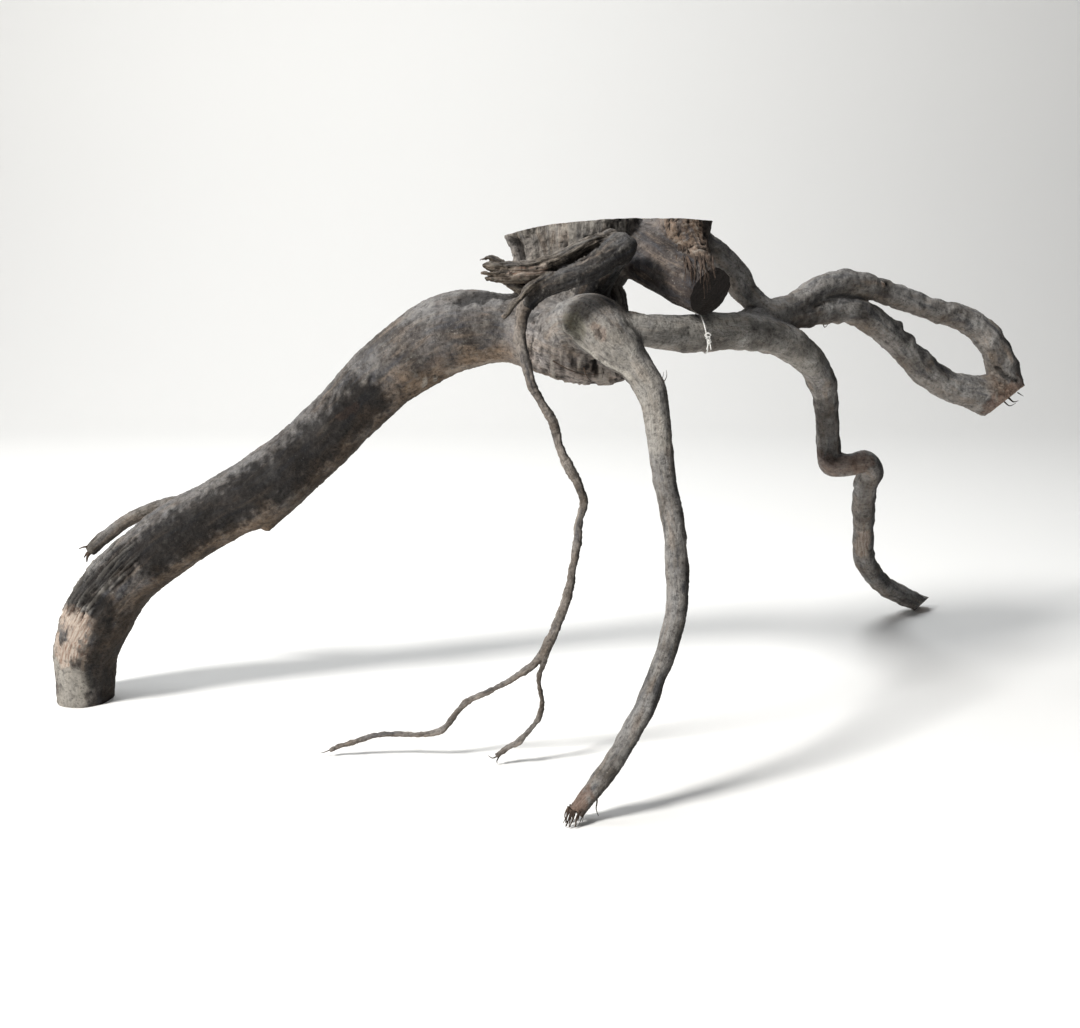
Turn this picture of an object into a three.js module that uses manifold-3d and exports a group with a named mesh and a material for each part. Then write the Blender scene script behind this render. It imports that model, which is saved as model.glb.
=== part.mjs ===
import * as THREE from "three";
import { mergeVertices } from "three/addons/utils/BufferGeometryUtils.js";
import Module from "manifold-3d";

// A dry root standing like a tripod: a sawn root crown with a thick root to the left, a slim
// root to the front, a long root reaching back to the right and a loop grown back into itself.
// Millimetres, +Z up, the ground at z = 0 under the middle of the outline.

const wasm = await Module();
wasm.setup();

// Driving dimensions
const groundHeight = 0;
const middleShift = [5, -1, 0];
const crownCutCentre = [32, -37, 378.5];
const crownCutTilt = 3.9;
const crownCutForwardTilt = 3;
const loopCutCentre = [389, 109, 228];
const loopCutNormal = [0.61, -0.34, -0.72];
const stubCutCentre = [104, -91, 328];
const stubCutNormal = [0.71, -0.61, -0.35];
const reachCutCentre = [367, 221, 6];
const reachCutNormal = [0.66, -0.42, -0.63];
const crownCutterSize = 280;
const endCutterSize = 100;
const threadThickness = 1.5;
const threadClearance = 0.5;
const threadSlant = 8;
const tiedStation = 2.38;
const tiedRootRadius = 13.5;
const knotRadius = 2.6;
const smallKnotRadius = 1.7;

// Stations of the root that the thread is tied round: x, y, z and radius
const reachingStations = [
  [20, -90, 306, 18], [51, -93, 303, 14], [83, -77, 302, 13.5], [120, -53, 302, 13.5],
  [150, -28, 297, 13.5], [174, -7, 287, 13], [196, 13, 273, 12], [210, 31, 256, 11],
  [220, 58, 216, 10], [229, 67, 185, 10.5], [243, 58, 180, 10.5], [258, 62, 179, 10.5],
  [263, 76, 162, 10], [269, 103, 135, 10], [281, 141, 91, 9.5], [297, 171, 57, 9.5],
  [328, 199, 27, 9.5], [378, 228, 1, 8.5],
];

function solidFrom(geometry) {
  const bare = geometry.clone();
  bare.deleteAttribute("normal");
  bare.deleteAttribute("uv");
  const merged = mergeVertices(bare, 1e-4);
  return new wasm.Manifold(new wasm.Mesh({
    numProp: 3,
    vertProperties: new Float32Array(merged.getAttribute("position").array),
    triVerts: new Uint32Array(merged.getIndex().array),
  }));
}

function geometryFrom(solid) {
  const mesh = solid.getMesh();
  const geometry = new THREE.BufferGeometry();
  geometry.setAttribute("position", new THREE.BufferAttribute(mesh.vertProperties, 3));
  geometry.setIndex(new THREE.BufferAttribute(mesh.triVerts, 1));
  geometry.computeVertexNormals();
  return geometry;
}

function lineThrough(stations) {
  return new THREE.CatmullRomCurve3(stations.map(([x, y, z]) => new THREE.Vector3(x, y, z)));
}

// One root: a cylinder bent along the smooth line through its [x, y, z, radius] stations.
function limb(stations, sides, stepsPerSpan) {
  const line = lineThrough(stations);
  const spans = stations.length - 1;
  const steps = spans * stepsPerSpan;
  const rings = [];
  let side = new THREE.Vector3(0, 0, 1);
  for (let step = 0; step <= steps; step += 1) {
    const along = step / steps;
    const span = Math.min(Math.floor(along * spans), spans - 1);
    const heading = line.getTangent(along);
    side = side.clone().addScaledVector(heading, -side.dot(heading)).normalize();
    rings.push({
      centre: line.getPoint(along),
      side,
      up: new THREE.Vector3().crossVectors(side, heading),
      radius: THREE.MathUtils.lerp(stations[span][3], stations[span + 1][3], along * spans - span),
    });
  }
  const geometry = new THREE.CylinderGeometry(1, 1, 1, sides, steps);
  const position = geometry.getAttribute("position");
  for (let index = 0; index < position.count; index += 1) {
    const ring = rings[Math.round((position.getY(index) + 0.5) * steps)];
    const point = ring.centre.clone();
    point.addScaledVector(ring.side, position.getX(index) * ring.radius);
    point.addScaledVector(ring.up, position.getZ(index) * ring.radius);
    position.setXYZ(index, point.x, point.y, point.z);
  }
  return solidFrom(geometry);
}

// A block standing on the cut plane, on the side the normal points to.
function cutter(centre, normal, size) {
  const block = new THREE.BoxGeometry(size, size, size);
  const facing = new THREE.Vector3(...normal).normalize();
  const turn = new THREE.Quaternion().setFromUnitVectors(new THREE.Vector3(0, 0, 1), facing);
  block.translate(0, 0, size / 2);
  block.applyQuaternion(turn);
  block.translate(...centre);
  return solidFrom(block);
}

function groundBlock() {
  const block = new THREE.BoxGeometry(1200, 1200, 100);
  block.translate(0, 0, groundHeight - 50);
  return solidFrom(block);
}

function joined(solids) {
  return solids.reduce((whole, solid) => whole.add(solid));
}

function crown() {
  const leftStem = limb([
    [-3, -33, 295, 26], [-9, -30, 322, 24], [-19, -33, 350, 21], [-30, -37, 395, 22],
  ], 12, 2);
  const middleStem = limb([
    [15, -37, 294, 28], [14, -31, 320, 34], [16, -29, 351, 37], [18, -31, 395, 38],
  ], 16, 2);
  const rightStem = limb([
    [22, -29, 335, 19], [50, -28, 348, 21], [77, -32, 364, 25], [88, -35, 395, 23],
  ], 12, 2);
  const lean = THREE.MathUtils.degToRad(crownCutTilt);
  const forwardLean = THREE.MathUtils.degToRad(crownCutForwardTilt);
  const topNormal = [-Math.tan(lean), -Math.tan(forwardLean), 1];
  const topCut = cutter(crownCutCentre, topNormal, crownCutterSize);
  return joined([leftStem, middleStem, rightStem]).subtract(topCut);
}

function sawnStub() {
  const stub = limb([
    [37, -27, 357, 21], [61, -50, 348, 20], [84, -71, 337, 17.5], [115, -104, 324, 15.5],
  ], 14, 2);
  return stub.subtract(cutter(stubCutCentre, stubCutNormal, endCutterSize));
}

function barkCollar() {
  return limb([[-14, -49, 298, 25], [6, -59, 291, 26], [26, -61, 288, 25], [40, -67, 287, 19]], 14, 2);
}

function thickRoot() {
  return limb([
    [4, -43, 297, 24], [-43, -35, 302, 25], [-87, -27, 298, 30], [-134, -19, 268, 27],
    [-196, -13, 209, 25], [-238, -15, 176, 27], [-307, -20, 138, 26], [-357, -22, 95, 26],
    [-376, -20, 67, 27], [-385, -17, 44, 24], [-393, -13, -6, 22.5],
  ], 14, 2);
}

function brokenSpur() {
  return limb([[-286, -8, 160, 7], [-335, 8, 152, 5.5], [-378, 21, 127, 5.5], [-393, 21, 113, 5]], 8, 2);
}

function frontRoot() {
  return limb([
    [2, -79, 316, 14], [20, -95, 310, 20], [34, -107, 298, 18], [46, -115, 282, 13], [56, -124, 262, 9.5],
    [66, -151, 207, 8], [73, -170, 160, 7.5], [72, -182, 130, 7], [59, -197, 91, 6.5], [28, -217, 37, 6.5],
    [0, -228, 3, 5.5],
  ], 10, 2);
}

function reachingRoot() {
  const root = limb(reachingStations, 10, 2);
  return root.subtract(cutter(reachCutCentre, reachCutNormal, endCutterSize));
}

function closedLoop() {
  const archedSide = limb([
    [74, -24, 358, 15], [93, -17, 362, 15], [110, -15, 353, 13], [128, -15, 340, 11], [139, -15, 325, 9],
    [153, -14, 315, 9], [177, 7, 317, 9.5], [202, 27, 329, 9.5], [226, 43, 333, 9.5], [257, 61, 326, 10],
    [297, 79, 313, 9.5], [345, 99, 299, 11], [365, 105, 286, 11.5], [378, 109, 270, 12.5],
    [386, 110, 249, 13.5], [396, 109, 220, 16],
  ], 10, 2);
  const lowerSide = limb([
    [132, -30, 305, 10], [150, -16, 309, 9.5], [175, 5, 307, 10], [203, 25, 311, 10.5], [231, 43, 311, 11],
    [254, 57, 301, 11.5], [298, 83, 266, 11.5], [338, 99, 241, 13], [361, 105, 235, 15], [392, 109, 226, 16],
  ], 10, 2);
  return archedSide.add(lowerSide).subtract(cutter(loopCutCentre, loopCutNormal, endCutterSize));
}

// The strap lying over the front of the crown, its split end and the thin root under it.
function frontStrap() {
  const strap = limb([
    [24, -63, 316, 18], [35, -73, 341, 14], [35, -91, 361, 12], [25, -103, 356, 11], [10, -113, 347, 9],
    [-14, -121, 338, 7.5], [-25, -124, 330, 6],
  ], 10, 2);
  const ridge = limb([
    [26, -95, 364, 5.5], [6, -109, 356, 5], [-14, -119, 350, 4.5], [-40, -127, 348, 3.5],
    [-53, -130, 350, 1.5],
  ], 8, 2);
  const lowerSplinter = limb([[-26, -123, 346, 3.5], [-42, -130, 345, 2.5], [-51, -134, 343, 1.5]], 7, 1);
  const shortSplinter = limb([[-26, -124, 331, 5], [-34, -124, 337, 4], [-46, -126, 341, 2]], 7, 1);
  const twig = limb([[-14, -123, 344, 2.5], [-26, -131, 337, 2], [-43, -139, 318, 1.5]], 7, 1);
  return joined([strap, ridge, lowerSplinter, shortSplinter, twig]);
}

function thinRoot() {
  const root = limb([
    [-26, -123, 334, 6], [-33, -125, 315, 4.5], [-31, -127, 298, 4], [-26, -130, 274, 3.2],
    [-11, -131, 249, 3.3], [-6, -132, 231, 3], [8, -133, 203, 3.2], [11, -133, 190, 3],
    [7, -133, 165, 3.2], [0, -133, 123, 3.3], [-13, -133, 90, 3.5], [-27, -133, 71, 3],
    [-54, -131, 53, 2.2], [-70, -130, 45, 2.2], [-91, -129, 21, 2.5], [-106, -128, 18, 2],
    [-138, -127, 17, 2], [-173, -127, 4, 2],
  ], 7, 2);
  const fork = limb([
    [-13, -133, 89, 3], [-17, -134, 72, 2], [-20, -135, 62, 1.8], [-18, -138, 42, 2], [-33, -140, 19, 2.2],
    [-49, -141, 7, 2],
  ], 7, 2);
  return root.add(fork);
}

function dryRoot() {
  const trunk = [crown(), sawnStub(), barkCollar(), frontStrap()];
  const roots = [thickRoot(), brokenSpur(), frontRoot(), reachingRoot(), closedLoop(), thinRoot()];
  return joined([...trunk, ...roots]).subtract(groundBlock());
}

// A cotton thread tied once round the reaching root, with two knots and two short tails.
function labelThread() {
  const line = lineThrough(reachingStations);
  const along = tiedStation / (reachingStations.length - 1);
  const centre = line.getPoint(along);
  const heading = line.getTangent(along);
  const up = new THREE.Vector3(0, 0, 1).addScaledVector(heading, -heading.z).normalize();
  const front = new THREE.Vector3().crossVectors(up, heading).negate();
  const reach = tiedRootRadius + threadClearance + threadThickness / 2;
  const around = (angle, distance) => centre.clone()
    .addScaledVector(up, Math.cos(angle) * distance)
    .addScaledVector(front, Math.sin(angle) * distance)
    .addScaledVector(heading, -Math.sin(angle) * threadSlant);
  const ringPoints = Array.from({ length: 16 }, (_, turn) => around(turn * Math.PI / 8, reach));
  const ringLine = new THREE.CatmullRomCurve3(ringPoints, true);
  const ring = solidFrom(new THREE.TubeGeometry(ringLine, 32, threadThickness / 2, 6, true));
  const knotAt = around(1.7, tiedRootRadius + threadClearance + knotRadius);
  const smallKnotAt = knotAt.clone().add(new THREE.Vector3(1, -0.5, -3.8));
  const knots = [[knotAt, knotRadius], [smallKnotAt, smallKnotRadius]].map(([place, radius]) => {
    const ball = new THREE.SphereGeometry(radius, 10, 8);
    ball.translate(place.x, place.y, place.z);
    return solidFrom(ball);
  });
  const tails = [-1.6, 1.4].map((lean) => {
    const end = smallKnotAt.clone().add(new THREE.Vector3(lean, -0.6, -5.4));
    return limb([[...smallKnotAt, 0.7], [...smallKnotAt.clone().lerp(end, 0.5), 0.7], [...end, 0.6]], 6, 1);
  });
  return joined([ring, ...knots, ...tails]);
}

// Stations are laid out from the trunk, so each solid moves to put the outline's middle on the origin.
function node(name, solid, colour, roughness) {
  const material = new THREE.MeshStandardMaterial({ color: colour, roughness, metalness: 0 });
  const mesh = new THREE.Mesh(geometryFrom(solid.translate(middleShift)), material);
  mesh.name = name;
  return mesh;
}

const rebuilt = new THREE.Group();
rebuilt.add(node("dry_root", dryRoot(), 0x6b625b, 0.9));
rebuilt.add(node("label_thread", labelThread(), 0xe6e3da, 0.8));

export default rebuilt;
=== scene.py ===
import math
import bpy
import bmesh
import numpy as np
from mathutils import Matrix, Vector


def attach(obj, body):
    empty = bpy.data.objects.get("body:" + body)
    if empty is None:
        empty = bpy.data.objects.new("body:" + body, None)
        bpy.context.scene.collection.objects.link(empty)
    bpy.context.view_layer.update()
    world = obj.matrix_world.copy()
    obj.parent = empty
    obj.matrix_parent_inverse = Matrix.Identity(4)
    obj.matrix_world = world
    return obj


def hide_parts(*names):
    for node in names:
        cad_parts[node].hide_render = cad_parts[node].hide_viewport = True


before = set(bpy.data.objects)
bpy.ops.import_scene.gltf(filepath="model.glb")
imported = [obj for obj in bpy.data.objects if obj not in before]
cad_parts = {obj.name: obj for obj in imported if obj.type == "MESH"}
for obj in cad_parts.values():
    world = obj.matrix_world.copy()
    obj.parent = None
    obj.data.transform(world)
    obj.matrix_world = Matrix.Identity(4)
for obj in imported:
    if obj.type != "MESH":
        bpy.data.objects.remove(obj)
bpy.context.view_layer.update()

# Lengths in the dictionaries are millimetres, laid out from the trunk.
middleShift = np.array([5.0, -1.0, 0.0])
toMetres = 0.001


def gradientNoise(points, seed):
    # smooth seeded noise, about -1 to 1, with features one unit across
    cell = np.floor(points).astype(np.int64)
    part = points - cell
    fade = part ** 3 * (part * (part * 6 - 15) + 10)
    total = np.zeros(len(points))
    for corner in np.ndindex(2, 2, 2):
        place = cell + corner
        mixed = (place * (374761393, 668265263, 2246822519)).sum(1) + seed * 3266489917
        mixed = (mixed ^ (mixed >> 13)) * 1274126177
        mixed = (mixed ^ (mixed >> 16)) & 0x3FFFFFFF
        slope = np.stack([mixed & 1023, (mixed >> 10) & 1023, (mixed >> 20) & 1023], 1) / 511.5 - 1.0
        weight = np.prod(np.where(np.array(corner) == 1, fade, 1 - fade), axis=1)
        total += weight * (slope * (part - corner)).sum(1)
    return total * 1.5


def layeredNoise(points, seed, octaves=3):
    total = np.zeros(len(points))
    for octave in range(octaves):
        total += gradientNoise(points * 2.03 ** octave, seed + octave * 17) * 0.5 ** octave
    return total


def smoothLine(stations, spacing=2.2):
    # an even curve through stations of x, y, z and radius, with the directions along and across it
    knots = np.array(stations, float)
    tooClose = 1e-4
    samples = []
    for index in range(len(knots) - 1):
        before, start, end, after = (knots[min(max(index + k, 0), len(knots) - 1)] for k in (-1, 0, 1, 2))
        gapBefore, gap, gapAfter = (np.linalg.norm((b - a)[:3]) ** 0.5
                                    for a, b in ((before, start), (start, end), (end, after)))
        if gapBefore <= tooClose:
            before, gapBefore = start - (end - start), gap
        if gapAfter <= tooClose:
            after, gapAfter = end + (end - start), gap
        leave = ((start - before) / gapBefore - (end - before) / (gapBefore + gap)
                 + (end - start) / gap) * gap
        arrive = ((end - start) / gap - (after - start) / (gap + gapAfter)
                  + (after - end) / gapAfter) * gap
        steps = max(2, math.ceil(np.linalg.norm((end - start)[:3]) / spacing))
        for t in np.linspace(0, 1, steps, endpoint=False):
            samples.append(start + leave * t + (-3 * start + 3 * end - 2 * leave - arrive) * t ** 2
                           + (2 * start - 2 * end + leave + arrive) * t ** 3)
    samples.append(knots[-1])
    samples = np.array(samples)
    centre = samples[:, :3]
    heading = np.gradient(centre, axis=0)
    heading /= np.linalg.norm(heading, axis=1, keepdims=True)
    side = np.zeros_like(centre)
    previous = np.array([0.0, 0.0, 1.0]) if abs(heading[0][2]) < 0.9 else np.array([1.0, 0.0, 0.0])
    for index, ahead in enumerate(heading):
        previous = previous - ahead * previous.dot(ahead)
        previous /= np.linalg.norm(previous)
        side[index] = previous
    along = np.concatenate([[0], np.cumsum(np.linalg.norm(np.diff(centre, axis=0), axis=1))])
    return {"centre": centre, "radius": samples[:, 3], "heading": heading, "side": side,
            "up": np.cross(heading, side), "along": along}


def measureLimb(line, points, reach=26.0):
    # distance to one limb's surface, the way off it, and where each point lies round and along it
    low = (line["centre"] - line["radius"][:, None]).min(0) - reach
    high = (line["centre"] + line["radius"][:, None]).max(0) + reach
    near = np.where(((points > low) & (points < high)).all(1))[0]
    distance = np.full(len(points), 1e3)
    away = np.zeros_like(points)
    local = np.zeros_like(points)
    centre, radius = line["centre"], line["radius"]
    step = max(1, int(len(centre) / 90))
    for chunk in np.array_split(near, max(1, len(near) // 20000)):
        if not len(chunk):
            continue
        place = points[chunk]
        coarse = np.arange(0, len(centre), step)
        gap = np.linalg.norm(place[:, None] - centre[coarse][None], axis=2) - radius[coarse][None]
        first = coarse[gap.argmin(1)]
        best = np.full(len(chunk), 1e9)
        found = np.zeros(len(chunk))
        for shift in range(-step - 1, step + 1):
            start = np.clip(first + shift, 0, len(centre) - 2)
            span = centre[start + 1] - centre[start]
            t = np.clip(((place - centre[start]) * span).sum(1) / (span * span).sum(1), 0, 1)
            spot = centre[start] + span * t[:, None]
            thick = radius[start] * (1 - t) + radius[start + 1] * t
            far = np.linalg.norm(place - spot, axis=1) - thick
            closer = far < best
            best = np.where(closer, far, best)
            found = np.where(closer, start + t, found)
        start = np.clip(found.astype(int), 0, len(centre) - 2)
        t = (found - start)[:, None]
        spot = centre[start] * (1 - t) + centre[start + 1] * t
        offset = place - spot
        length = np.linalg.norm(offset, axis=1, keepdims=True)
        distance[chunk] = best
        away[chunk] = offset / np.maximum(length, 1e-6)
        side = line["side"][start] * (1 - t) + line["side"][start + 1] * t
        up = line["up"][start] * (1 - t) + line["up"][start + 1] * t
        along = line["along"][start] * (1 - t[:, 0]) + line["along"][start + 1] * t[:, 0]
        local[chunk] = np.stack([(offset * side).sum(1), (offset * up).sum(1), along], 1)
    return distance, away, local


def measureRoot(limbs, points):
    # all limbs flowed together: the joined surface, the way off it, and each limb's share of a point
    field, slope = None, None
    shares, places = [], []
    for limb in limbs.values():
        distance, away, local = measureLimb(limb["line"], points)
        places.append(local)
        if field is None:
            field, slope = distance, away
            shares.append(np.ones(len(points)))
            continue
        keep = np.clip(0.5 + 0.5 * (distance - field) / limb["web"], 0, 1)
        field = distance * (1 - keep) + field * keep - limb["web"] * keep * (1 - keep)
        slope = away * (1 - keep)[:, None] + slope * keep[:, None]
        shares = [share * keep for share in shares] + [1 - keep]
    return field, slope, np.array(shares), places


def pullOntoSurface(limbs, points, rounds=4):
    # steps along the slope, no more than longestStep at once
    longestStep, leastSlope = 5, 0.15
    for _ in range(rounds):
        field, slope, _shares, _places = measureRoot(limbs, points)
        strength = np.maximum((slope * slope).sum(1), leastSlope)
        step = np.clip(field / strength, -longestStep, longestStep)
        points = points - slope * step[:, None]
    return points


# Bark of each kind of limb: five reliefs as (height, width round the limb, length along it), then how far
# its colour follows the grain, its painted light grey on the lit side, its soil tan and painted bounce light
# underneath, and its tint.
styleParts = ("lumps", "flutes", "fibres", "wrinkles", "cracks", "streak", "paintedLightGrey", "soilAndBounceLight", "tint")
barkStyles = {
    "crown": ((1.6, 24, 30), (1.2, 8, 18), (1.0, 3, 6), (0.9, 7, 3.4), (0.9, 8, 22), 0.5, 0.8, 0.3,
      (0.27, 0.246, 0.222)),
    "smooth": ((1.6, 22, 22), (0.25, 8, 24), (0.35, 3, 6), (0.4, 9, 4), (0.35, 8, 30), 0.2, 0.5, 0.25,
      (0.115, 0.096, 0.088)),
    "collar": ((1.4, 18, 30), (1.8, 30, 4.2), (0.6, 14, 1.8), (0.3, 4, 9), (1.5, 26, 4.2), 0.5, 0.6, 0.35,
      (0.295, 0.262, 0.243)),
    "thick": ((1.3, 32, 44), (0.25, 12, 50), (0.35, 2.8, 5), (0.5, 12, 4.5), (0.6, 8, 40), 0.12, 1.0, 0.85,
      (0.105, 0.092, 0.084)),
    "slim": ((0.8, 12, 16), (0.5, 4, 40), (0.2, 2, 16), (0.3, 9, 3), (0.5, 4, 40), 0.4, 0.7, 0.3,
      (0.15, 0.13, 0.11)),
    "front": ((1.0, 12, 18), (0.35, 5, 40), (0.3, 2.6, 12), (0.18, 8, 4.5), (0.45, 5, 40), 0.3, 0.8, 0.15,
      (0.26, 0.243, 0.224)),
    "reach": ((1.2, 11, 16), (0.35, 5, 40), (0.35, 2.6, 10), (0.18, 8, 4.5), (0.5, 5, 40), 0.25, 0.8, 0.3,
      (0.27, 0.256, 0.241)),
    "stub": ((1.3, 20, 26), (0.3, 8, 40), (0.25, 2.4, 10), (0.2, 8, 5), (0.4, 6, 40), 0.2, 0.2, 0.0,
      (0.06, 0.048, 0.043)),
    "fringe": ((0.8, 9, 14), (0.9, 3.6, 30), (0.6, 1.8, 16), (1.4, 14, 3.2), (1.6, 4, 24), 0.5, 0.3, 0.0,
      (0.28, 0.2, 0.145)),
    "loop": ((1.7, 10, 14), (0.3, 5, 30), (0.4, 2.8, 9), (0.18, 8, 4.5), (0.5, 6, 30), 0.2, 0.8, 0.35,
      (0.285, 0.268, 0.25)),
    "strap": ((0.9, 12, 16), (0.5, 5, 30), (0.45, 2.4, 9), (0.45, 6, 3.5), (0.7, 5, 30), 0.35, 0.35, 0.0,
      (0.06, 0.055, 0.052)),
    "splinter": ((0.6, 7, 9), (1.2, 2.4, 22), (0.5, 1.3, 9), (0.2, 5, 3), (1.0, 2.4, 18), 0.8, 0.6, 0.2,
      (0.2, 0.165, 0.13)),
    "thin": ((0.7, 6, 7.5), (0.2, 2.2, 24), (0.22, 1.5, 5), (0.35, 5, 2.2), (0.25, 3, 20), 0.35, 0.6, 0.25,
      (0.25, 0.215, 0.185)),
}


def limbRelief(place, style, seed):
    def grain(kind):
        height, width, length = style[kind]
        noiseSeed = seed + 1 + styleParts.index(kind)
        return height, layeredNoise(place / (width, width, length), noiseSeed, 2)

    lumpHeight, lumps = grain("lumps")
    fluteHeight, flutes = grain("flutes")
    fibreHeight, fibres = grain("fibres")
    wrinkleHeight, wrinkles = grain("wrinkles")
    crackHeight, cracks = grain("cracks")
    patches = gradientNoise(place / (18, 18, 30), seed + 6)  # cracks open only in patches
    split = np.clip(1 - np.abs(cracks) / 0.09, 0, 1) * np.clip((patches + 0.05) * 4, 0, 1)
    fine = (fluteHeight * (np.clip(np.abs(flutes) * 2.4, 0, 1) - 0.65) + fibreHeight * fibres
            + wrinkleHeight * wrinkles - crackHeight * split)
    return lumpHeight * lumps + fine, fine


def lineDistance(through, points):
    # how far each point lies from a broken line
    nearest = np.full(len(points), 1e3)
    through = np.array(through, float)
    if len(through) == 1:
        return np.linalg.norm(points - through[0], axis=1)
    for start, end in zip(through[:-1], through[1:]):
        span = end - start
        t = np.clip(((points - start) @ span) / max(span @ span, 1e-6), 0, 1)
        nearest = np.minimum(nearest, np.linalg.norm(points - start - t[:, None] * span, axis=1))
    return nearest


# Painted light and shade: the upper left side, facing the key lamp, painted paler grey, and the lower right
# side painted dark as shade.
litSide = (-0.35, -0.1, 0.93)
shadedSide = (0.93, 0.1, -0.2)
sideShade = 0.9


def readSurface(limbs, marks, points):
    # everything known about each point of a root: relief, tint, place along its limb, and painted marks
    _field, slope, shares, places = measureRoot(limbs, points)
    slope = slope / np.maximum(np.linalg.norm(slope, axis=1, keepdims=True), 1e-6)
    height, fine, streak, soilAndBounceLight, paintedLightGrey = (np.zeros(len(points)) for _ in range(5))
    tint = np.ones((len(points), 4))
    tint[:, :3] = 0
    for number, limb in enumerate(limbs.values()):
        style = dict(zip(styleParts, barkStyles[limb["style"]]))
        share = shares[number]
        streak += share * style["streak"]
        soilAndBounceLight += share * style["soilAndBounceLight"]
        paintedLightGrey += share * style["paintedLightGrey"]
        tint[:, :3] += share[:, None] * np.array(style["tint"])
        active = np.where(share > 0.02)[0]
        if not len(active):
            continue
        place = places[number][active]
        whole, small = limbRelief(place, style, 40 * number + 5)
        for start, end, extra, width in limb.get("torn", []):  # splintered stretch of the upper side
            inside = np.clip((place[:, 2] - start) / 20, 0, 1) * np.clip((end - place[:, 2]) / 12, 0, 1)
            inside = inside * np.clip(place[:, 0] / 12 + 0.9, 0, 1)
            ragged = layeredNoise(place / (width, width, 70), number + 300, 3)
            ridges = extra * inside * (np.clip(np.abs(ragged) * 2.4, 0, 1) - 0.55)
            whole, small = whole + ridges, small + ridges
        height[active] += share[active] * whole
        fine[active] += share[active] * small
    painted = {kind: np.zeros(len(points)) for kind in ("peel", "stain", "pale", "moss", "rust")}
    ragged = layeredNoise(points / (5, 5, 8), 77, 3)
    for kind, width, amount, rise, edge, through in marks:
        near = lineDistance(through, points) / width
        if kind == "shape":
            height += rise * np.exp(-near ** 2)
            continue
        mask = np.clip((1.2 - near - ragged * edge) * 2.2, 0, 1)
        painted[kind] = np.maximum(painted[kind], amount * mask)
        height += rise * mask
    cloud = layeredNoise(points / 22, 91, 3)
    # soil tan and painted bounce light from the floor on the undersides
    under = soilAndBounceLight * np.clip((-slope[:, 2] - 0.2 + cloud * 0.5) / 0.55, 0, 1)
    # painted light: the side facing the key lamp, up and to the left, turns paler grey
    above = paintedLightGrey * np.clip((slope @ litSide - 0.2 + cloud * 0.6) / 0.6, 0, 1)
    # painted shade: the lower right side, away from the key lamp, darkened through the stain and shade mask
    paintedSideShade = sideShade * np.clip((slope @ shadedSide - 0.27 + cloud * 0.3) / 0.45, 0, 1)
    painted["stain"] = np.maximum(painted["stain"], paintedSideShade)
    return {"height": height, "slope": slope, "tint": tint,
            "marks": np.stack([painted["peel"], painted["stain"], fine], 1),
            "paleMossStreak": np.stack([painted["pale"], painted["moss"], streak], 1),
            "soilLightAndRust": np.stack([under, above, painted["rust"]], 1)}


def readPlaces(limbs, points):
    # where each point lies across and along the limb it mostly belongs to, each limb well apart
    limbGap = 900
    _field, _slope, shares, places = measureRoot(limbs, points)
    main = shares.argmax(0)
    place = places[0].copy()
    for number in range(1, len(limbs)):
        place[main == number] = places[number][main == number] + (0, 0, limbGap * number)
    return place


def snapLine(limbs, through):
    # a mark's line, cut fine and laid onto the surface
    knots = np.array(through, float)
    if len(knots) == 1:
        return pullOntoSurface(limbs, knots)
    places = [start + (end - start) * t for start, end in zip(knots[:-1], knots[1:])
              for t in np.linspace(0, 1, max(2, int(np.linalg.norm(end - start) / 3)))]
    return pullOntoSurface(limbs, np.array(places))


def wireMesh(name, lines, roundness=2):
    # round wires, each along its places with its radii, as one mesh
    curve = bpy.data.curves.new(name, "CURVE")
    curve.dimensions = "3D"
    curve.bevel_depth = toMetres
    curve.bevel_resolution = roundness
    curve.use_fill_caps = True
    for places, radii in lines:
        spline = curve.splines.new("POLY")
        spline.points.add(len(places) - 1)
        for point, place, size in zip(spline.points, places, radii):
            point.co = (*(place * toMetres), 1)
            point.radius = size
    holder = bpy.data.objects.new(name, curve)
    mesh = bpy.data.meshes.new_from_object(holder)
    bpy.data.objects.remove(holder)
    bpy.data.curves.remove(curve)
    return mesh


def withModifier(name, mesh, kind, settings):
    # runs one modifier on a mesh and gives back the changed mesh
    holder = bpy.data.objects.new(name, mesh)
    bpy.context.scene.collection.objects.link(holder)
    modifier = holder.modifiers.new(kind.lower(), kind)
    for key, value in settings.items():
        setattr(modifier, key, value)
    evaluated = holder.evaluated_get(bpy.context.evaluated_depsgraph_get())
    changed = bpy.data.meshes.new_from_object(evaluated)
    bpy.data.objects.remove(holder)
    bpy.data.meshes.remove(mesh)
    return changed


def pointsOf(mesh):
    flat = np.empty(len(mesh.vertices) * 3)
    mesh.vertices.foreach_get("co", flat)
    return flat.reshape(-1, 3) / toMetres


def putPoints(mesh, points):
    mesh.vertices.foreach_set("co", (points * toMetres).ravel())
    mesh.update()


def growRoot(name, limbs, marks, voxel):
    # limbs as tubes, fused, pulled onto one flowing surface, then given their bark relief
    tubes = [(limb["line"]["centre"][::2], limb["line"]["radius"][::2]) for limb in limbs.values()]
    rough = wireMesh(name, tubes, 5)
    mesh = withModifier(name, rough, "REMESH", {"mode": "VOXEL", "voxel_size": voxel * toMetres})
    putPoints(mesh, pullOntoSurface(limbs, pointsOf(mesh), 3))
    soft = bmesh.new()
    soft.from_mesh(mesh)
    bmesh.ops.smooth_vert(soft, verts=soft.verts, factor=0.5,
                          use_axis_x=True, use_axis_y=True, use_axis_z=True)
    soft.to_mesh(mesh)
    soft.free()
    points = pullOntoSurface(limbs, pointsOf(mesh), 1)
    surface = readSurface(limbs, marks, points)
    putPoints(mesh, points + surface["slope"] * surface["height"][:, None])
    print(name, "grown with", len(mesh.vertices), "points")
    return mesh


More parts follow.
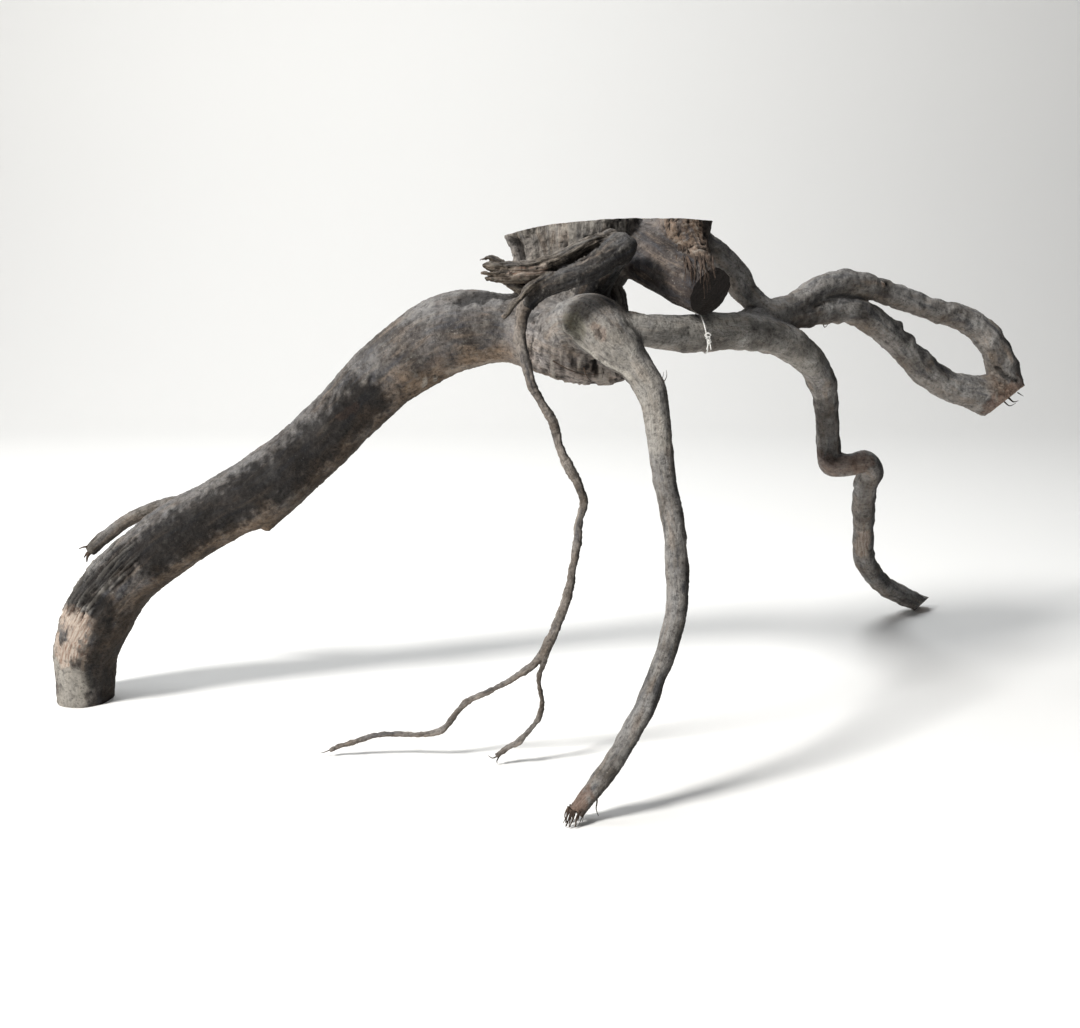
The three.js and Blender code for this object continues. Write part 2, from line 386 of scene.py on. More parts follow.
def sawBlock(cut, seed):
    # what one blade took away: a round block whose underside carries the saw strokes
    block = bmesh.new()
    half = cut["width"] / 2
    bmesh.ops.create_grid(block, x_segments=cut["grid"], y_segments=cut["grid"], size=half)
    bmesh.ops.delete(block, geom=[vert for vert in block.verts if vert.co.length > half], context="VERTS")
    flat = np.array([vert.co[:] for vert in block.verts])
    strokes = layeredNoise(np.stack([flat[:, 0] / 3.2, flat[:, 1] / 60, flat[:, 2]], 1), seed, 2)
    dents = layeredNoise(flat / 9 + 3.3, seed + 9, 3)
    depth = cut["rough"] * (0.5 * strokes + 0.5 * dents)
    offsets, drops = zip(*cut.get("bow", [(0, 0)]))
    for vert, dip in zip(block.verts, depth):
        vert.co.z = min(dip - cut["rough"] * 0.3, 0) + np.interp(vert.co.x, offsets, drops)
    lifted = bmesh.ops.extrude_face_region(block, geom=block.faces[:])["geom"]
    top = [part for part in lifted if isinstance(part, bmesh.types.BMVert)]
    bmesh.ops.translate(block, verts=top, vec=(0, 0, cut["reach"]))
    bmesh.ops.recalc_face_normals(block, faces=block.faces)
    turn = Vector((0, 0, 1)).rotation_difference(Vector(cut["facing"]).normalized()).to_matrix().to_4x4()
    bmesh.ops.transform(block, verts=block.verts, matrix=Matrix.Translation(Vector(cut["place"])) @ turn)
    for face in block.faces:
        face.material_index = cut["material"]
    return block


def sawOff(name, mesh, cuts, materials):
    for material in materials:
        mesh.materials.append(material)
    tool = bpy.data.meshes.new("sawBlocks")
    blocks = bmesh.new()
    for number, cut in enumerate(cuts.values()):
        block = sawBlock(cut, 500 + number)
        block.to_mesh(tool)
        blocks.from_mesh(tool)
        block.free()
    for vert in blocks.verts:
        vert.co *= toMetres
    blocks.to_mesh(tool)
    blocks.free()
    for material in materials:
        tool.materials.append(material)
    saw = bpy.data.objects.new("saw", tool)
    bpy.context.scene.collection.objects.link(saw)
    changed = withModifier(name, mesh, "BOOLEAN",
                           {"operation": "DIFFERENCE", "object": saw, "solver": "MANIFOLD"})
    bpy.data.objects.remove(saw)
    print(name, "sawn:", len(changed.polygons), "faces")
    return changed


def finishRoot(mesh, limbs, marks):
    # leaves on every point what its material reads, and a hard edge where a saw met the bark
    points = pointsOf(mesh)
    surface = readSurface(limbs, marks, pullOntoSurface(limbs, points, 1))
    surface["limbCoord"] = readPlaces(limbs, points)
    for key in ("tint", "limbCoord", "marks", "paleMossStreak", "soilLightAndRust"):
        colour = key == "tint"
        layer = mesh.attributes.new(key, "FLOAT_COLOR" if colour else "FLOAT_VECTOR", "POINT")
        layer.data.foreach_set("color" if colour else "vector", surface[key].ravel())
    mesh.polygons.foreach_set("use_smooth", [True] * len(mesh.polygons))
    edges = bmesh.new()
    edges.from_mesh(mesh)
    for edge in edges.edges:
        if len({face.material_index for face in edge.link_faces}) > 1:
            edge.smooth = False
    edges.to_mesh(mesh)
    edges.free()


def placePiece(name, mesh, node):
    mesh.transform(Matrix.Translation(Vector(middleShift * toMetres)))
    mesh.name = name
    piece = bpy.data.objects.new(name, mesh)
    bpy.context.scene.collection.objects.link(piece)
    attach(piece, "root")
    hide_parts(node)
    print(name, "placed with", sum(len(face.vertices) - 2 for face in mesh.polygons), "triangles")
    return piece


def addNode(tree, kind, inputs=None, **settings):
    node = tree.nodes.new(kind)
    for key, value in settings.items():
        setattr(node, key, value)
    for key, value in (inputs or {}).items():
        if isinstance(value, bpy.types.NodeSocket):
            tree.links.new(value, node.inputs[key])
        else:
            node.inputs[key].default_value = value
    return node


def mixColour(tree, factor, first, second, blend="MIX"):
    return addNode(tree, "ShaderNodeMix", {0: factor, 6: first, 7: second},
                   data_type="RGBA", blend_type=blend).outputs[2]


def ramp(tree, value, low, high, outLow=0.0, outHigh=1.0):
    node = addNode(tree, "ShaderNodeMapRange", {"Value": value, "From Min": low, "From Max": high,
                                                "To Min": outLow, "To Max": outHigh})
    return node.outputs["Result"]


def layOver(tree, base, colour, mask, low, high, amount):
    # another colour over the base, more as its mask goes from low to high
    return mixColour(tree, ramp(tree, mask, low, high, 0.0, amount), base, colour)


def calculate(tree, operation, first, second=0.0):
    return addNode(tree, "ShaderNodeMath", {0: first, 1: second}, operation=operation).outputs[0]


def placeGroup(tree, group, inputs):
    return addNode(tree, "ShaderNodeGroup", inputs, node_tree=group).outputs


def readAttribute(tree, name):
    return addNode(tree, "ShaderNodeAttribute", attribute_name=name).outputs


def readVector(tree, name):
    return addNode(tree, "ShaderNodeSeparateXYZ", {0: readAttribute(tree, name)["Vector"]}).outputs


def addBump(tree, shader, height, look):
    bump = addNode(tree, "ShaderNodeBump", {
        "Strength": look["bump"], "Distance": look["bumpDepth"], "Height": height})
    tree.links.new(bump.outputs[0], shader.inputs["Normal"])


def shaderGroup(name, inputs, outputs):
    tree = bpy.data.node_groups.new(name, "ShaderNodeTree")
    for socketName, kind, value in inputs:
        socket = tree.interface.new_socket(socketName, in_out="INPUT", socket_type=kind)
        if value is not None:
            socket.default_value = value
    for socketName, kind in outputs:
        tree.interface.new_socket(socketName, in_out="OUTPUT", socket_type=kind)
    return tree, tree.nodes.new("NodeGroupInput").outputs, tree.nodes.new("NodeGroupOutput")


def makeFibreGroup():
    # long streaks that follow a limb, and a finer broken grain over them
    tree, given, out = shaderGroup("fibreGrain", [
        ("Along", "NodeSocketVector", None), ("Width", "NodeSocketFloat", 1.5),
        ("Length", "NodeSocketFloat", 18.0)], [("Streaks", "NodeSocketFloat"), ("Grain", "NodeSocketFloat")])
    stretch = addNode(tree, "ShaderNodeCombineXYZ",
                      {0: given["Width"], 1: given["Width"], 2: given["Length"]}).outputs[0]
    place = addNode(tree, "ShaderNodeVectorMath", {0: given["Along"], 1: stretch}, operation="DIVIDE")
    streaks = addNode(tree, "ShaderNodeTexNoise", {"Vector": place.outputs[0], "Scale": 1.0, "Detail": 4.0,
                                                   "Roughness": 0.62, "Distortion": 0.3})
    grain = addNode(tree, "ShaderNodeTexNoise", {"Vector": place.outputs[0], "Scale": 2.7, "Detail": 3.0,
                                                 "Roughness": 0.7})
    tree.links.new(streaks.outputs["Fac"], out.inputs["Streaks"])
    tree.links.new(grain.outputs["Fac"], out.inputs["Grain"])
    return tree


def makeMottleGroup():
    # cloudy patches, lichen-like specks and fine crumbs, in the wood itself
    tree, given, out = shaderGroup("mottle", [
        ("Patch Size", "NodeSocketFloat", 14.0), ("Speck Size", "NodeSocketFloat", 2.0)],
        [("Patches", "NodeSocketFloat"), ("Specks", "NodeSocketFloat"), ("Crumbs", "NodeSocketFloat")])
    place = addNode(tree, "ShaderNodeTexCoord").outputs["Object"]
    perPatch = calculate(tree, "DIVIDE", 1000.0, given["Patch Size"])
    perSpeck = calculate(tree, "DIVIDE", 1000.0, given["Speck Size"])
    patches = addNode(tree, "ShaderNodeTexNoise", {"Vector": place, "Scale": perPatch, "Detail": 6.0,
                                                   "Roughness": 0.65})
    specks = addNode(tree, "ShaderNodeTexVoronoi", {"Vector": place, "Scale": perSpeck, "Randomness": 1.0})
    crumbs = addNode(tree, "ShaderNodeTexNoise", {"Vector": place, "Scale": perSpeck, "Detail": 4.0,
                                                  "Roughness": 0.75})
    tree.links.new(patches.outputs["Fac"], out.inputs["Patches"])
    tree.links.new(ramp(tree, specks.outputs["Distance"], 0.28, 0.1), out.inputs["Specks"])
    tree.links.new(crumbs.outputs["Fac"], out.inputs["Crumbs"])
    return tree


fibreGroup = makeFibreGroup()
mottleGroup = makeMottleGroup()


def placeMottle(tree, patchSize, speckSize):
    return placeGroup(tree, mottleGroup, {"Patch Size": patchSize, "Speck Size": speckSize})


def newMaterial(name, look):
    material = bpy.data.materials.new(name)
    material.use_nodes = True
    tree = material.node_tree
    shader = tree.nodes["Principled BSDF"]
    shader.inputs["Roughness"].default_value = look["roughness"]
    shader.inputs["Specular IOR Level"].default_value = look["specular"]
    return material, tree, shader


barkLook = {
    "roughness": 0.86, "specular": 0.22, "bump": 0.95, "bumpDepth": 0.0019,
    "fibreWidth": 1.5, "fibreLength": 16, "bandWidth": 6, "bandLength": 34,
    "patchSize": 26, "speckSize": 2.6, "flakeSize": 4.2, "flakeCrumbs": 1.1,
    "tan": (0.31, 0.24, 0.185, 1), "slate": (0.062, 0.066, 0.078, 1), "lichen": (0.36, 0.34, 0.30, 1),
    "nearBlack": (0.012, 0.010, 0.009, 1), "bareWood": (0.50, 0.425, 0.36, 1), "rust": (0.2, 0.11, 0.07, 1),
    "soilAndBounceLight": (0.31, 0.215, 0.14, 1), "paintedLightGrey": (0.215, 0.212, 0.21, 1), "moss": (0.15, 0.145, 0.07, 1),
    "pale": (0.46, 0.43, 0.38, 1), "shadow": (0.13, 0.125, 0.125, 1)}


def makeBark(name, look):
    material, tree, shader = newMaterial(name, look)
    tint = readAttribute(tree, "tint")["Color"]
    along = readAttribute(tree, "limbCoord")["Vector"]
    peel, stain, fine = readVector(tree, "marks")
    pale, moss, streak = readVector(tree, "paleMossStreak")
    under, above, rust = readVector(tree, "soilLightAndRust")
    fibre = placeGroup(tree, fibreGroup, {
        "Along": along, "Width": look["fibreWidth"], "Length": look["fibreLength"]})
    bands = placeGroup(tree, fibreGroup, {
        "Along": along, "Width": look["bandWidth"], "Length": look["bandLength"]})["Streaks"]
    mottle = placeMottle(tree, look["patchSize"], look["speckSize"])
    flakes = placeMottle(tree, look["flakeSize"], look["flakeCrumbs"])["Patches"]
    patches, crumbs = mottle["Patches"], mottle["Crumbs"]
    clouds = addNode(tree, "ShaderNodeCombineColor", {
        channel: ramp(tree, patches, 0.36, 0.66, darkest, lightest)
        for channel, (darkest, lightest) in enumerate([(0.5, 1.5), (0.47, 1.55), (0.44, 1.6)])}).outputs[0]
    colour = mixColour(tree, 1.0, tint, clouds, "MULTIPLY")
    colour = layOver(tree, colour, look["tan"], bands, 0.53, 0.66, 0.45)
    colour = layOver(tree, colour, look["slate"], bands, 0.47, 0.36, 0.65)
    # painted light: paler grey laid on the side facing the key lamp
    paintedLight = calculate(tree, "MULTIPLY", above, ramp(tree, patches, 0.4, 0.6, 0.15, 0.75))
    colour = mixColour(tree, paintedLight, colour, look["paintedLightGrey"])
    # soil tan and painted bounce light from the floor, on the undersides
    soilAndBounceMask = calculate(tree, "MULTIPLY", under, ramp(tree, crumbs, 0.3, 0.6, 0.4, 0.85))
    colour = mixColour(tree, soilAndBounceMask, colour, look["soilAndBounceLight"])
    # pale holds pale scars and also painted highlights and painted light on the front roots
    for mask, kind in ((pale, "pale"), (moss, "moss"), (rust, "rust")):
        colour = mixColour(tree, mask, colour, look[kind])
    colour = layOver(tree, colour, look["nearBlack"], flakes, 0.5, 0.36, 0.4)
    colour = layOver(tree, colour, look["lichen"], flakes, 0.54, 0.7, 0.25)
    colour = layOver(tree, colour, look["nearBlack"], crumbs, 0.48, 0.32, 0.6)
    gleams = calculate(tree, "MULTIPLY", mottle["Specks"], ramp(tree, crumbs, 0.5, 0.62, 0.0, 0.55))
    colour = mixColour(tree, gleams, colour, look["lichen"])
    strands = calculate(tree, "MULTIPLY", streak, ramp(tree, fibre["Streaks"], 0.52, 0.36))
    colour = mixColour(tree, strands, colour, look["nearBlack"])
    colour = layOver(tree, colour, look["lichen"], fine, 0.15, 1.0, 0.4)
    bare = layOver(tree, look["bareWood"], look["rust"], fibre["Streaks"], 0.56, 0.36, 0.85)
    colour = mixColour(tree, peel, colour, bare)
    # real stains and painted shade: the colour multiplied towards the shadow colour
    colour = mixColour(tree, stain, colour, mixColour(tree, 1.0, colour, look["shadow"], "MULTIPLY"))
    # painted shade: cracks and furrows of the fine relief darkened towards near black
    colour = layOver(tree, colour, look["nearBlack"], fine, -0.2, -1.3, 0.9)
    tree.links.new(colour, shader.inputs["Base Color"])
    strandHeight = calculate(tree, "MULTIPLY", fibre["Streaks"], calculate(tree, "ADD", streak, peel))
    height = calculate(tree, "ADD", calculate(tree, "MULTIPLY", crumbs, 0.9), strandHeight)
    for grain, share in ((fibre["Grain"], 0.3), (flakes, 1.2)):
        height = calculate(tree, "ADD", height, calculate(tree, "MULTIPLY", grain, share))
    addBump(tree, shader, height, look)
    tree.links.new(ramp(tree, fibre["Grain"], 0.3, 0.7, 0.7, 0.95), shader.inputs["Roughness"])
    return material


freshCutLook = {
    "roughness": 0.8, "specular": 0.3, "bump": 0.6, "bumpDepth": 0.0006, "ringWidth": 1.6, "wander": 9.0,
    "wood": (0.30, 0.19, 0.115, 1), "ring": (0.14, 0.08, 0.045, 1), "nearBlack": (0.02, 0.014, 0.01, 1)}
# Sawn wood made near black: painted shade for the stub's cut face under the crown's overhang.
shadedCutLook = {
    "roughness": 0.85, "specular": 0.25, "bump": 0.9, "bumpDepth": 0.0006, "ringWidth": 1.3, "wander": 9.0,
    "wood": (0.026, 0.02, 0.0165, 1), "ring": (0.012, 0.009, 0.008, 1), "nearBlack": (0.006, 0.005, 0.004, 1)}


def makeSawnWood(name, look):
    material, tree, shader = newMaterial(name, look)
    along = readAttribute(tree, "limbCoord")["Vector"]
    mottle = placeMottle(tree, 16.0, 1.4)
    across = addNode(tree, "ShaderNodeVectorMath", {0: along, 1: (1, 1, 0)}, operation="MULTIPLY").outputs[0]
    radius = addNode(tree, "ShaderNodeVectorMath", {0: across}, operation="LENGTH").outputs["Value"]
    wavy = calculate(tree, "ADD", radius, calculate(tree, "MULTIPLY", mottle["Patches"], look["wander"]))
    turns = calculate(tree, "DIVIDE", wavy, look["ringWidth"])
    rings = calculate(tree, "SINE", calculate(tree, "MULTIPLY", turns, 6.2832))
    wood = layOver(tree, look["wood"], look["ring"], rings, -0.4, 1.0, 0.55)
    dusty = layOver(tree, wood, look["nearBlack"], mottle["Crumbs"], 0.6, 0.42, 0.7)
    shaded = layOver(tree, dusty, look["ring"], mottle["Patches"], 0.6, 0.4, 0.6)
    tree.links.new(shaded, shader.inputs["Base Color"])
    height = calculate(tree, "ADD", calculate(tree, "MULTIPLY", rings, 0.2), mottle["Crumbs"])
    addBump(tree, shader, height, look)
    return material


bark = makeBark("weatheredBark", barkLook)
freshCut = makeSawnWood("freshCutWood", freshCutLook)
shadedCut = makeSawnWood("shadedCutWood", shadedCutLook)


def buildRoot(name, limbs, marks, voxel, cuts=None):
    for limb in limbs.values():
        limb["line"] = smoothLine(limb["stations"])
    marks = [(*mark[:-1], snapLine(limbs, mark[-1])) for mark in marks]
    mesh = growRoot(name, limbs, marks, voxel)
    if cuts:
        mesh = sawOff(name, mesh, cuts, [bark, freshCut, shadedCut])
    else:
        mesh.materials.append(bark)
    finishRoot(mesh, limbs, marks)
    placePiece(name, mesh, "dry_root")


# Each limb: stations of x, y, z and radius, and web, how widely it flows into what it grows from.
bodyLimbs = {
    "crownMiddle": {"web": 4, "style": "crown", "stations": [(12, -37, 294, 30), (17, -33, 314, 30),
      (14, -31, 329, 27), (12, -30, 342, 28), (16, -29, 357, 35), (18, -31, 400, 38)]},
    "crownLeft": {"web": 9, "style": "crown", "stations": [(-3, -33, 295, 26), (-9, -30, 322, 23),
      (-18, -33, 350, 20), (-31, -37, 400, 22)]},
    "crownRight": {"web": 7, "style": "smooth", "stations": [(26, -27, 360, 17), (50, -28, 364, 18),
      (77, -32, 368, 23.5), (88, -35, 400, 23)]},
    "stub": {"web": 6, "style": "stub", "stations": [(42, -27, 364, 19), (62, -50, 353, 19.5),
      (82, -72, 340, 18), (104, -96, 330, 17)]},
    "fringe": {"web": 3, "style": "fringe", "stations": [(84, -43, 400, 17), (85, -47, 375, 17),
      (88, -58, 361, 13.5), (92, -73, 351, 10), (95, -86, 343, 5)]},
    "collar": {"web": 10, "style": "collar", "stations": [(-14, -49, 298, 25), (6, -59, 291, 26),
      (26, -61, 288, 25), (40, -67, 287, 19)]},
    "thickRoot": {"web": 14, "style": "thick", "torn": [(380, 468, 2.8, 3.6)], "stations": [
      (4, -43, 297, 24), (-43, -35, 302, 25), (-87, -27, 298, 30), (-134, -19, 268, 27),
      (-163, -15, 241, 25.5), (-196, -13, 209, 25), (-238, -15, 175, 27.5), (-267, -17, 161, 25.5),
      (-307, -20, 138, 26), (-336, -22, 116, 25.5), (-357, -22, 95, 26), (-376, -20, 67, 27),
      (-386, -17, 44, 24.5), (-390, -15, 18, 22.5), (-394, -13, -16, 21.5)]},
    "spur": {"web": 4, "style": "slim", "stations": [(-280, -10, 166, 7), (-322, 4, 157, 6),
      (-350, 14, 146, 5.5), (-378, 21, 127, 5.5), (-392, 21, 114, 5)]},
    "nub": {"web": 5, "style": "thick", "stations": [(-222, -18, 166, 9), (-230, -20, 154, 6.5),
      (-234, -21, 144, 2.4)]},
    "frontRoot": {"web": 13, "style": "front", "stations": [(-5, -69, 303, 13), (4, -82, 311, 16),
      (20, -95, 310, 20), (32, -106, 298, 17), (46, -115, 284, 11.5), (57, -123, 267, 10.5),
      (61, -135, 243, 8.8), (65, -151, 207, 8), (70, -161, 183, 7.6), (72, -171, 157, 7.6),
      (71, -182, 130, 7), (65, -191, 108, 6.8), (58, -197, 91, 6.6), (50, -204, 72, 6.7),
      (28, -217, 37, 6.5), (17, -221, 22, 6), (3, -227, 6, 5.5)]},
    "reachRoot": {"web": 3.5, "style": "reach", "stations": [(22, -95, 308, 15), (50, -96, 306, 11.5),
      (83, -77, 302, 13.5), (120, -53, 302, 13.5), (150, -28, 297, 13.5), (174, -7, 288, 13),
      (195, 13, 272, 12), (207, 29, 258, 11.5), (216, 45, 236, 10.2), (223, 60, 208, 9.6),
      (226, 66, 190, 10.3), (229, 63, 181, 10.5), (244, 59, 181, 9.5), (256, 61, 182, 10.2),
      (263, 67, 174, 10.6), (262, 75, 162, 10), (269, 103, 135, 10), (275, 122, 112, 9), (281, 141, 91, 9.4),
      (287, 155, 73, 9.8), (297, 171, 57, 9.5), (313, 187, 39, 9.3), (328, 199, 27, 9.5),
      (372, 224, 3, 8.5)]},
    "arch": {"web": 9, "style": "loop", "stations": [(74, -24, 358, 15), (93, -17, 362, 15),
      (110, -15, 353, 13), (128, -15, 340, 11), (139, -15, 325, 9), (153, -14, 315, 9), (177, 7, 317, 9.3),
      (202, 27, 329, 9.4), (226, 43, 333, 9.5), (257, 61, 326, 10), (297, 79, 313, 9.3), (327, 92, 304, 10),
      (345, 99, 299, 11), (365, 105, 286, 11.5), (378, 109, 270, 12.5), (386, 110, 249, 13.5),
      (398, 109, 216, 16)]},
    "underArch": {"web": 2.5, "style": "loop", "stations": [(132, -30, 305, 10), (150, -16, 309, 9.5),
      (175, 5, 307, 9.6), (203, 25, 311, 10.4), (231, 43, 311, 11), (254, 57, 301, 11.4), (277, 71, 284, 11),
      (298, 83, 266, 11.5), (315, 91, 253, 12.5), (338, 99, 241, 13), (361, 105, 235, 15),
      (394, 109, 224, 16)]},
    "loopEnd": {"web": 4, "style": "fringe", "stations": [(372, 105, 239, 12), (384, 108, 232, 15.5),
      (397, 109, 221, 17)]},
}

# Marks: what is painted or shaped, how wide, how strong, how far it stands out, how ragged its edge is,
# and the places it runs through.
bodyMarks = [
    # painted highlight: a pale line along the front limb's lower edge, on a raised ridge
    ("pale", 1.9, 1.0, 1.4, 0.35, [(0, -98, 309), (5, -104, 303), (15, -111, 294), (27, -118, 285),
      (41, -125, 276)]),
    ("moss", 7, 0.3, 0, 0.7, [(3, -106, 314), (10, -108, 308)]),
    ("rust", 3.5, 0.4, -0.6, 0.7, [(19, -117, 310), (24, -120, 303)]),
    ("stain", 1.3, 0.9, -1.2, 0.7, [(20, -118, 308), (22, -119, 303)]),
    ("peel", 1.8, 0.8, 0.8, 0.7, [(44, -98, 319), (52, -95, 316)]),
    ("stain", 2.0, 0.9, -3, 0.7, [(19, -84, 283), (21, -80, 274)]),
    ("shape", 13, 0, 3.0, 0.7, [(-123, -46, 265)]),
    ("stain", 2, 0.5, -1.0, 0.7, [(-125, -46, 261), (-116, -46, 241), (-100, -46, 238)]),
    ("pale", 1.8, 0.55, 1.0, 0.7, [(-103, -47, 262), (-100, -47, 247)]),
    ("pale", 1.6, 0.5, 0.8, 0.7, [(-94, -47, 258), (-90, -47, 246)]),
    ("pale", 3.2, 0.45, 0.4, 0.7, [(-182, -39, 228)]),
    ("rust", 3.0, 0.4, 0, 0.7, [(-170, -40, 236), (-158, -42, 244)]),
    ("pale", 3.0, 0.5, 0.4, 0.7, [(-150, -40, 262)]),
    ("pale", 5, 0.25, 0, 0.7, [(-84, -44, 266), (-34, -46, 271)]),
    ("stain", 7, 0.8, -1.6, 0.7, [(-74, -45, 324), (-54, -41, 326), (-30, -40, 326)]),
    ("stain", 2.0, 0.7, 0.8, 0.7, [(-278, -44, 158)]),
    ("stain", 12, 0.8, -1.0, 0.7, [(-389, -35, 91), (-369, -42, 105), (-352, -44, 116), (-337, -45, 128)]),
    # painted shade: dark bands down the front middle of the thick root, between its lighter top and
    # underside
    ("stain", 20, 0.9, 0, 0.45, [(-318, -46, 132), (-262, -42, 166), (-205, -40, 200), (-150, -40, 246)]),
    ("stain", 9, 0.85, 0, 0.4, [(-360, -42, 90), (-364, -40, 56), (-370, -36, 22)]),
    ("peel", 8, 1.0, -1.3, 0.9, [(-399, -32, 78), (-381, -42, 80), (-374, -43, 76), (-383, -42, 64),
      (-388, -40, 54), (-398, -36, 44), (-404, -26, 62)]),
    ("pale", 14, 0.7, 0, 0.4, [(-400, -34, 34), (-392, -38, 18), (-398, -36, 4)]),
    # painted shade in the hollow at the crown's left end, which is also sunk 5 mm
    ("stain", 8, 1.0, -5, 0.2, [(-36, -46, 360), (-33, -44, 346), (-31, -42, 332)]),
    ("pale", 3.5, 0.3, 0, 0.7, [(-46, -42, 373), (-20, -62, 375), (10, -68, 377), (42, -66, 379)]),
    ("stain", 2.2, 0.7, -1.2, 0.7, [(63, -55, 367)]),
    # painted shadow on the trunk under the overhanging strap
    ("stain", 13, 0.7, 0, 0.7, [(22, -62, 334), (30, -62, 318)]),
    ("stain", 4, 0.8, -1.5, 0.7, [(94, -74, 340), (104, -86, 340)]),
    ("peel", 2.4, 0.95, 0.4, 0.7, [(259, 52, 331)]),
    ("stain", 2.2, 0.9, -1.2, 0.7, [(264, 55, 331)]),
    ("shape", 5, 0, 3.2, 0.7, [(279, 62, 299)]),
    ("shape", 5, 0, 3.4, 0.7, [(294, 68, 287)]),
    ("shape", 4.5, 0, 2.6, 0.7, [(309, 76, 268)]),
    ("stain", 3.5, 0.5, 0, 0.7, [(265, 56, 302), (284, 66, 290), (305, 76, 268)]),
    ("stain", 2.4, 0.85, -2, 0.7, [(374, 98, 256), (382, 97, 251), (393, 100, 246)]),
    ("rust", 8, 0.5, -0.4, 0.7, [(372, 98, 226), (386, 100, 236), (396, 104, 240)]),
    # painted light on the upper front of the reach root
    ("pale", 16, 0.45, 0, 0.4, [(44, -104, 304), (83, -88, 302), (120, -64, 302), (150, -40, 296),
      (190, 2, 276)]),
    # painted light on the upper front of the front root
    ("pale", 11, 0.42, 0, 0.4, [(14, -112, 306), (28, -120, 300), (44, -127, 284), (54, -132, 262),
      (60, -142, 236)]),
    ("stain", 9, 0.6, 0, 0.4, [(214, 36, 236), (220, 50, 208), (224, 56, 192)]),
    ("rust", 10, 0.45, 0, 0.7, [(215, 58, 184), (228, 52, 178), (252, 50, 184)]),
    ("stain", 8, 0.4, 0, 0.4, [(262, 62, 160), (266, 82, 140), (269, 100, 122)]),
    ("peel", 7, 0.6, -0.4, 0.7, [(276, 118, 105), (277, 128, 92), (279, 136, 83)]),
    ("rust", 9, 0.6, 0, 0.7, [(4, -227, 8), (8, -225, 14)]),
]

# Saw cuts: where each blade passed, which way it faced, how wide and far it cleared, how rough it left the
# wood, which wood it showed, and for the crown how far the cut drops from flat at places across it.
sawCuts = {
    "crownCut": {"place": (32, -37, 381.5), "facing": (-0.03, 0.012, 1.0), "width": 250, "grid": 160,
      "reach": 60, "rough": 0.6, "material": 1,
      "bow": [(-100, -20), (-78, -9.3), (-56, -4.5), (-42, -2.5), (-8, -0.5), (17, 0), (45, -1.1),
        (75, -3.6), (110, -6)]},
    # the stub's cut face takes the near-black sawn wood, painted shade
    "stubCut": {"place": (99, -91, 332), "facing": (0.54, -0.76, -0.36), "width": 41, "grid": 40,
      "reach": 30, "rough": 1.2, "material": 2},
    "loopCut": {"place": (389, 109, 228), "facing": (0.61, -0.34, -0.72), "width": 72, "grid": 60,
      "reach": 40, "rough": 1.4, "material": 1},
    "reachCut": {"place": (367, 221, 6), "facing": (0.66, -0.42, -0.63), "width": 36, "grid": 30,
      "reach": 20, "rough": 0.6, "material": 1},
    "footCut": {"place": (-389, -13, 0), "facing": (0, 0, -1), "width": 90, "grid": 60, "reach": 30,
      "rough": 0.3, "material": 1},
}
buildRoot("dryRootBody", bodyLimbs, bodyMarks, 1.5, sawCuts)

strapLimbs = {
    "strap": {"web": 3, "style": "strap", "stations": [(13, -52, 306, 15), (20, -60, 334, 12),
      (32, -82, 358, 12), (36, -93, 361, 11), (24, -104, 354, 9.5), (10, -113, 346, 8.5), (-3, -118, 342, 8),
      (-14, -121, 338, 7.5), (-25, -124, 330, 6), (-29, -125, 322, 5)]},
    "ridge": {"web": 2, "style": "splinter", "stations": [(30, -88, 369, 5.5), (14, -98, 364, 5.6),
      (0, -109, 357, 5.2), (-13, -117, 352, 5), (-27, -123, 349, 5.4), (-40, -127, 349, 4.6),
      (-50, -129, 350, 3.4), (-57, -130, 351, 1.6)]},
    "lowerProng": {"web": 1.5, "style": "splinter", "stations": [(-18, -121, 345, 4), (-31, -126, 344, 4.4),
      (-42, -130, 343, 3.4), (-49, -132, 343, 2.4), (-55, -134, 342, 1)]},
    "tipProng": {"web": 1, "style": "splinter", "stations": [(-44, -127, 353, 2.2), (-53, -129, 356, 1.3),
      (-59, -130, 355, 0.4)]},
    "thinProng": {"web": 1, "style": "splinter", "stations": [(-40, -131, 346, 2.2), (-51, -134, 346, 1.4),
      (-60, -135, 347, 0.4)]},
    "shortProng": {"web": 1.5, "style": "splinter", "stations": [(-26, -124, 331, 4.6),
      (-33, -124, 336, 3.6), (-41, -125, 340, 2.4), (-47, -126, 342, 0.9)]},
    "brokenTwig": {"web": 1.5, "style": "splinter", "stations": [(-12, -123, 345, 2.6), (-20, -127, 341, 2),
      (-27, -131, 336, 2.4), (-32, -134, 330, 1.5), (-37, -136, 326, 2.2), (-41, -138, 320, 1.4),
      (-45, -139, 316, 1.6)]},
}
strapMarks = [
    # painted shadow on the strap's base under its overhanging knob
    ("stain", 12, 0.7, 0, 0.7, [(14, -66, 308), (24, -70, 332)]),
    ("stain", 1.8, 0.9, -1.8, 0.7, [(24, -102, 362), (9, -114, 353), (-2, -119, 350), (-12, -122, 348)]),
    ("peel", 2.6, 1.0, 0, 0.7, [(-39, -132, 346), (-26, -129, 347), (-14, -125, 350)]),
    ("stain", 3, 0.9, -2.5, 0.7, [(30, -104, 351), (37, -103, 346)]),
    ("peel", 3, 1.0, 0, 0.7, [(-45, -141, 317)]),
]
buildRoot("splitStrap", strapLimbs, strapMarks, 0.85)

